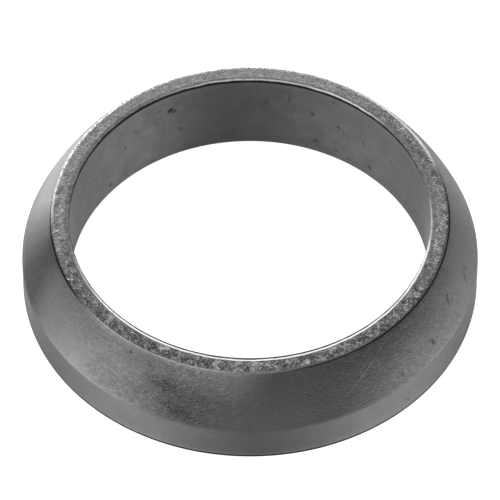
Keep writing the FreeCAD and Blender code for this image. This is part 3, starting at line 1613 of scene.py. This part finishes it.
@dataclass
class NoseWires:
    """The cut ends of the knitted wire, pressed flat into the bed of the nose.

    Each is a short bent wire that lies on one of the knit's two slants. The wire is about
    0.2 mm thick, and half sunk in graphite it shows as the thickness given here.
    """

    section: RingSection
    per_square_mm: float = 16.0
    thickness: float = 0.11
    length: float = 0.8
    slant: float = 45.0
    slant_spread: float = 22.0
    tilt: float = 2.0
    lowest: float = 0.13
    highest: float = 0.09
    inner_margin: float = 0.10
    outer_margin: float = 0.12
    fray: float = 0.24
    least_scale: Triple = (0.6, 0.8, 0.8)
    greatest_scale: Triple = (1.3, 1.1, 1.0)
    bends: tuple[float, ...] = (-0.35, -0.12, 0.1, 0.3)
    bend_steps: int = 2
    sides: int = 4
    bed_steps: int = 360
    seed: int = 7

    def bed(self) -> bpy.types.Mesh:
        """Make the flat ring that the wires are laid on.

        Returns:
            The mesh, whose outer edge reaches further out along the back.
        """
        inner = self.section.bed_start + self.inner_margin
        outer = self.section.bed_end - self.outer_margin
        level = self.section.sizes.height * MM
        points = []
        faces = []
        for index in range(self.bed_steps):
            turn = math.tau * index / self.bed_steps
            frayed = outer + self.fray * max(0.0, math.sin(turn)) ** 0.5
            for reach in (inner, frayed):
                points.append((reach * MM * math.cos(turn), reach * MM * math.sin(turn), level))
            this = 2 * index
            following = 2 * ((index + 1) % self.bed_steps)
            faces.append((this, this + 1, following + 1, following))
        mesh = bpy.data.meshes.new("nose_bed")
        mesh.from_pydata(points, [], faces)
        return mesh

    def one_wire(self, tree: Tree, bend: float, given: Node) -> Socket:
        """Model one bent wire along X, as an instance.

        Args:
            tree: the geometry node tree.
            bend: how far its middle is pushed aside, in wire lengths.
            given: the tree's group input.

        Returns:
            The wire.
        """
        half = self.length * MM / 2
        line = add_node(tree, "GeometryNodeCurveQuadraticBezier", inputs={
            "Resolution": self.bend_steps,
            "Start": (-half, 0.0, 0.0),
            "Middle": (0.0, 2 * half * bend, 0.0),
            "End": (half, 0.0, 0.0),
        })
        round_section = add_node(tree, "GeometryNodeCurvePrimitiveCircle", inputs={
            "Resolution": self.sides,
            "Radius": given.outputs["Wire radius"],
        })
        solid = add_node(tree, "GeometryNodeCurveToMesh", inputs={
            "Curve": line.outputs["Curve"],
            "Profile Curve": round_section.outputs["Curve"],
            "Fill Caps": True,
        })
        single = add_node(tree, "GeometryNodeGeometryToInstance", inputs={
            "Geometry": solid.outputs["Mesh"],
        })
        return single.outputs["Instances"]

    def spread(self, tree: Tree, draw: Draw, low: Any, high: Any, kind: str = "FLOAT") -> Socket:
        """Choose a value for each wire at random.

        Args:
            tree: the geometry node tree.
            draw: what is chosen.
            low: the least value.
            high: the greatest value.
            kind: the value's data type.

        Returns:
            The value.
        """
        numbers = {"FLOAT": (2, 3, 1), "FLOAT_VECTOR": (0, 1, 0), "INT": (4, 5, 2)}
        least, greatest, outcome = numbers[kind]
        node = add_node(tree, "FunctionNodeRandomValue", {"data_type": kind}, {
            least: low,
            greatest: high,
            "Seed": self.seed + draw,
        })
        return node.outputs[outcome]

    def rotation(self, tree: Tree) -> Socket:
        """Turn each wire to one of the slants at its place, with some play.

        Args:
            tree: the geometry node tree.

        Returns:
            The rotation.
        """
        position = add_node(tree, "GeometryNodeInputPosition")
        parts = add_node(tree, "ShaderNodeSeparateXYZ", inputs={0: position.outputs[0]})
        around = add_node(tree, "ShaderNodeMath", {"operation": "ARCTAN2"}, {
            0: parts.outputs[1],
            1: parts.outputs[0],
        })
        side = Signal(tree, self.spread(tree, Draw.SIDE, 0, 1, "INT"))
        slant = side.ramp(0.0, 1.0, math.radians(90 - self.slant), math.radians(90 + self.slant))
        play = math.radians(self.slant_spread)
        wander = Signal(tree, self.spread(tree, Draw.WANDER, -play, play))
        turn = Signal(tree, around.outputs[0]) + slant + wander
        tilt = math.radians(self.tilt)
        lean = self.spread(tree, Draw.LEAN, -tilt, tilt)
        return add_node(tree, "ShaderNodeCombineXYZ", inputs={1: lean, 2: turn}).outputs[0]

    def laying_tree(self) -> Tree:
        """Build the node tree that lays the wires on the bed.

        Returns:
            The tree.
        """
        tree, given = open_tree("laid_wire_ends", {
            "Bed": "Geometry",
            "Wires per square metre": "Float",
            "Wire radius": "Float",
            "Seed": "Int",
            "Finish": "Material",
        })
        points = add_node(tree, "GeometryNodeDistributePointsOnFaces", inputs={
            "Mesh": given.outputs["Bed"],
            "Density": given.outputs["Wires per square metre"],
            "Seed": given.outputs["Seed"],
        })
        drop = self.spread(tree, Draw.DROP, -self.lowest * MM, -self.highest * MM)
        lower = add_node(tree, "ShaderNodeCombineXYZ", inputs={2: drop})
        sunk = add_node(tree, "GeometryNodeSetPosition", inputs={
            "Geometry": points.outputs["Points"],
            "Offset": lower.outputs[0],
        })
        variants = add_node(tree, "GeometryNodeJoinGeometry")
        for bend in self.bends:
            tree.links.new(self.one_wire(tree, bend, given), variants.inputs[0])
        scales = (self.least_scale, self.greatest_scale)
        laid = add_node(tree, "GeometryNodeInstanceOnPoints", inputs={
            "Points": sunk.outputs["Geometry"],
            "Instance": variants.outputs["Geometry"],
            "Pick Instance": True,
            "Instance Index": self.spread(tree, Draw.SHAPE, 0, len(self.bends) - 1, "INT"),
            "Rotation": self.rotation(tree),
            "Scale": self.spread(tree, Draw.SCALE, *scales, "FLOAT_VECTOR"),
        })
        toned = add_node(tree, "GeometryNodeStoreNamedAttribute", {"domain": "INSTANCE"}, {
            "Geometry": laid.outputs["Instances"],
            "Name": WIRE_TONE,
            "Value": self.spread(tree, Draw.TONE, 0.0, 1.0),
        })
        close_tree(tree, toned.outputs["Geometry"], given.outputs["Finish"])
        return tree

    def build(self, finish: Material) -> Piece:
        """Lay the wires and return them as one finished piece.

        Args:
            finish: the wires' material.

        Returns:
            All the wire ends, as a plain mesh.
        """
        piece = grow("nose_wire_ends", self.bed(), self.laying_tree(), {
            "Wires per square metre": self.per_square_mm / MM**2,
            "Wire radius": self.thickness * MM / 2,
            "Seed": self.seed,
            "Finish": finish,
        })
        place(piece)
        return piece


@dataclass(frozen=True)
class Camera:
    """A long lens that looks down on the ring from the front."""

    aim: Vector = Vector((0.0, 0.0, 0.00678))
    distance: float = 0.845
    elevation: float = 50.31
    lens: float = 382.8

    def build(self) -> None:
        """Place the camera."""
        data = bpy.data.cameras.new("camera")
        data.lens = self.lens
        data.sensor_width = 36.0
        data.clip_start = 0.01
        data.clip_end = 20.0
        camera = bpy.data.objects.new("camera", data)
        tilt = math.radians(self.elevation)
        back = Vector((0.0, -math.cos(tilt), math.sin(tilt)))
        camera.location = self.aim + back * self.distance
        camera.rotation_euler = back.to_track_quat("Z", "Y").to_euler()
        bpy.context.scene.collection.objects.link(camera)
        bpy.context.scene.camera = camera


@dataclass(frozen=True)
class Lamp:
    """A soft round area lamp, aimed at the ring. Angles in degrees, lengths in metres."""

    name: str
    azimuth: float
    elevation: float
    watts: float
    distance: float = 0.6
    size: float = 0.18

    def build(self) -> None:
        """Place the lamp and aim it."""
        data = bpy.data.lights.new(self.name, "AREA")
        data.shape = "DISK"
        data.size = self.size
        data.energy = self.watts
        lamp = bpy.data.objects.new(self.name, data)
        turn = math.radians(self.azimuth)
        tilt = math.radians(self.elevation)
        towards = Vector((
            math.cos(turn) * math.cos(tilt),
            math.sin(turn) * math.cos(tilt),
            math.sin(tilt),
        ))
        lamp.location = towards * self.distance
        lamp.rotation_euler = towards.to_track_quat("Z", "Y").to_euler()
        lamp.visible_camera = False
        bpy.context.scene.collection.objects.link(lamp)


@dataclass(frozen=True)
class Studio:
    """White surroundings, a white floor and soft lamps.

    The floor lies a hair under the base, so that the two never fight for the same place.
    """

    ambient: float = 0.05
    floor_paint: str = "#E7E7E7"
    floor_half_width: float = 1.5
    floor_drop: float = 0.0001
    floor_glow: float = 0.37
    paper_glow: float = 0.85
    lamps: tuple[Lamp, ...] = (
        Lamp("top_box", 90, 80, 1.15),
        Lamp("front_top_box", 270, 60, 0.25),
        Lamp("back_box", 105, 9, 2.4),
        Lamp("right_box", 0, 26, 1.05),
        Lamp("front_left_box", 240, 30, 0.94),
        Lamp("left_box", 200, 10, 1.28),
    )

    def build_world(self) -> None:
        """Make the surroundings: white where seen or mirrored, and a faint light otherwise."""
        world = bpy.data.worlds.new("studio")
        world.use_nodes = True
        tree = world.node_tree
        tree.nodes.clear()
        path = add_node(tree, "ShaderNodeLightPath")
        kinds = ("Is Camera Ray", "Is Glossy Ray", "Is Transmission Ray")
        seen = combined("MAXIMUM", [Signal(tree, path.outputs[kind]) for kind in kinds])
        sky = add_node(tree, "ShaderNodeBackground", inputs={
            "Color": linear("#FFFFFF"),
            "Strength": seen.ramp(0.0, 1.0, self.ambient, 1.0),
        })
        add_node(tree, "ShaderNodeOutputWorld", inputs={"Surface": sky.outputs["Background"]})
        world.cycles.sampling_method = "NONE"
        bpy.context.scene.world = world

    def floor_material(self) -> Material:
        """Make the floor's paint: matt white, paper white where seen, and clear from below.

        Returns:
            The material.
        """
        material = bpy.data.materials.new("white_paper")
        material.use_nodes = True
        tree = material.node_tree
        tree.nodes.clear()
        path = add_node(tree, "ShaderNodeLightPath")
        seen = Signal(tree, path.outputs["Is Camera Ray"]) * self.paper_glow
        mirrored = Signal(tree, path.outputs["Is Glossy Ray"]) * self.floor_glow
        glow = add_node(tree, "ShaderNodeEmission", inputs={"Strength": seen + mirrored})
        matt = add_node(tree, "ShaderNodeBsdfDiffuse", inputs={"Color": linear(self.floor_paint)})
        both = add_node(tree, "ShaderNodeAddShader", inputs={0: glow.outputs[0], 1: matt.outputs[0]})
        side = add_node(tree, "ShaderNodeNewGeometry")
        clear = add_node(tree, "ShaderNodeBsdfTransparent")
        paper = add_node(tree, "ShaderNodeMixShader", inputs={
            0: side.outputs["Backfacing"],
            1: both.outputs[0],
            2: clear.outputs[0],
        })
        add_node(tree, "ShaderNodeOutputMaterial", inputs={"Surface": paper.outputs[0]})
        material.cycles.emission_sampling = "NONE"
        return material

    def build_floor(self) -> None:
        """Lay the floor under the ring."""
        reach = self.floor_half_width
        level = -self.floor_drop
        corners = [
            (-reach, -reach, level),
            (reach, -reach, level),
            (reach, reach, level),
            (-reach, reach, level),
        ]
        mesh = bpy.data.meshes.new("floor")
        mesh.from_pydata(corners, [], [(0, 1, 2, 3)])
        mesh.materials.append(self.floor_material())
        floor = bpy.data.objects.new("floor", mesh)
        bpy.context.scene.collection.objects.link(floor)

    def build(self) -> None:
        """Set up the whole studio."""
        self.build_world()
        self.build_floor()
        for lamp in self.lamps:
            lamp.build()


def main() -> None:
    """Build the gasket and its studio."""
    logging.basicConfig(level=logging.INFO, format="%(name)s: %(message)s")
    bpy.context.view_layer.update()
    bpy.context.scene.view_settings.view_transform = "Standard"

    section = RingSection(RingSizes.from_frame())
    pieces = [
        PressedRing(section).build({
            Zone.BORE: BoreSkin(section=section).material(),
            Zone.LIP: BurnishedLip(section=section).material(),
            Zone.NOSE: FeltBed(section=section).material(),
            Zone.SEAM: NoseSeam(section=section).material(),
            Zone.SEAT: PressedSkin(section=section).material(),
            Zone.BASE: PressedBase(section=section).material(),
        }),
        NoseWires(section).build(WireEnds(section=section).material()),
    ]
    for piece in pieces:
        log.info("%s: %d faces", piece.name, len(piece.data.polygons))

    Camera().build()
    Studio().build()


if __name__ == "__main__":
    main()
